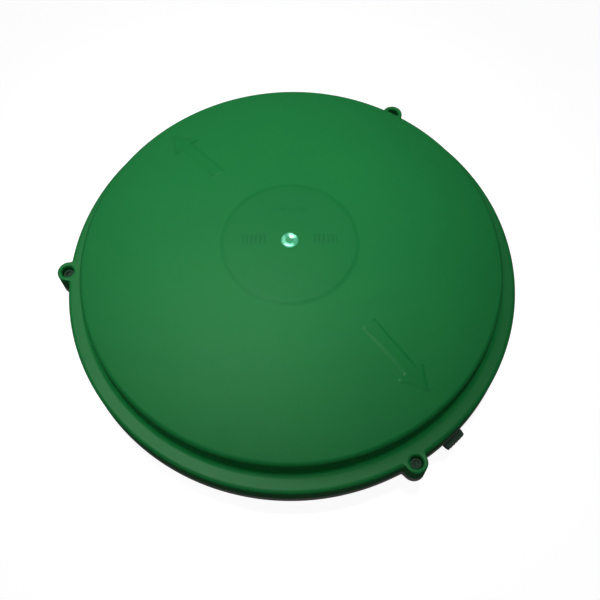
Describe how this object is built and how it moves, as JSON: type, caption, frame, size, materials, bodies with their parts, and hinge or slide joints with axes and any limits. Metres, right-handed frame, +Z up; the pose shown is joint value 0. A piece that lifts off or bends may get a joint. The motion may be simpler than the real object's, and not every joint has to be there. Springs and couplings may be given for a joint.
{
  "type": "wasp trap",
  "caption": "Low round trap: domed green screw-down cover over a grey tray with entry cones, a turning shutter and a lift-out bait trough.",
  "frame": {"origin": "on the trap's axis, in the plane of the tray's flat underside, at the mouth of the post socket", "axes": "+Z up along the trap's axis, through the middle of the dome; -X towards the first screw lug, so the finger tabs are at -47 and 133 degrees about Z"},
  "size_m": [0.2571, 0.25, 0.0745],
  "materials": {
    "cover_green": "fine-textured satin moulded plastic, smoother and glossier on the flange and edges",
    "clear_green": "clear green, polished",
    "seal_rubber": "matt moulded rubber",
    "black_screw": "blackened, slightly oily",
    "white_nylon": "natural nylon",
    "insert_brass": "turned brass",
    "tray_grey": "fine-textured matt grey moulded plastic",
    "cone_yellow": "smooth semi-gloss, slightly translucent",
    "shutter_dark": "dark green-grey satin plastic",
    "retainer_grey": "matt grey plastic",
    "steel_screw": "zinc-plated steel",
    "trough_pale": "pale semi-matt plastic",
    "bait_foam": "open-cell foam, damp at the bottom",
    "lid_slate": "matt slate-grey plastic",
    "foot_rubber": "matt rubber"
  },
  "bodies": {
    "tray": {"base_tray": "tray_grey", "cover_seal": "seal_rubber", "threaded_insert_1": "insert_brass", "threaded_insert_2": "insert_brass", "threaded_insert_3": "insert_brass", "entry_cone_1": "cone_yellow", "entry_cone_2": "cone_yellow", "entry_cone_3": "cone_yellow", "entry_cone_4": "cone_yellow", "entry_cone_5": "cone_yellow", "entry_cone_6": "cone_yellow", "shutter_retainer": "retainer_grey", "retainer_screws": "steel_screw", "rubber_foot_1": "foot_rubber", "rubber_foot_2": "foot_rubber", "rubber_foot_3": "foot_rubber"},
    "cover": {"cover": "cover_green", "light_plug": "clear_green", "screw_retainer_1": "white_nylon", "screw_retainer_2": "white_nylon", "screw_retainer_3": "white_nylon"},
    "screw_1": {"lid_screw_1": "black_screw"},
    "screw_2": {"lid_screw_2": "black_screw"},
    "screw_3": {"lid_screw_3": "black_screw"},
    "shutter": {"shutter_ring": "shutter_dark"},
    "bait": {"bait_trough": "trough_pale", "bait_sponge": "bait_foam"},
    "bait_cover": {"bait_lid": "lid_slate"}
  },
  "joints": [
    {"name": "cover_lift", "type": "slide", "parent": "tray", "child": "cover", "axis": [0, 0, 1], "range_m": [0, 0.12]},
    {"name": "screw_1_undo", "type": "slide", "parent": "cover", "child": "screw_1", "axis": [0, 0, 1], "range_m": [0, 0.0047]},
    {"name": "screw_2_undo", "type": "slide", "parent": "cover", "child": "screw_2", "axis": [0, 0, 1], "range_m": [0, 0.0047]},
    {"name": "screw_3_undo", "type": "slide", "parent": "cover", "child": "screw_3", "axis": [0, 0, 1], "range_m": [0, 0.0047]},
    {"name": "shutter_turn", "type": "hinge", "parent": "tray", "child": "shutter", "pos_m": [0, 0, 0.0205], "axis": [0, 0, 1], "range_deg": [0, 16]},
    {"name": "bait_lift", "type": "slide", "parent": "tray", "child": "bait", "axis": [0, 0, 1], "range_m": [0, 0.016]},
    {"name": "bait_lid_lift", "type": "slide", "parent": "bait", "child": "bait_cover", "axis": [0, 0, 1], "range_m": [0, 0.014]}
  ]
}
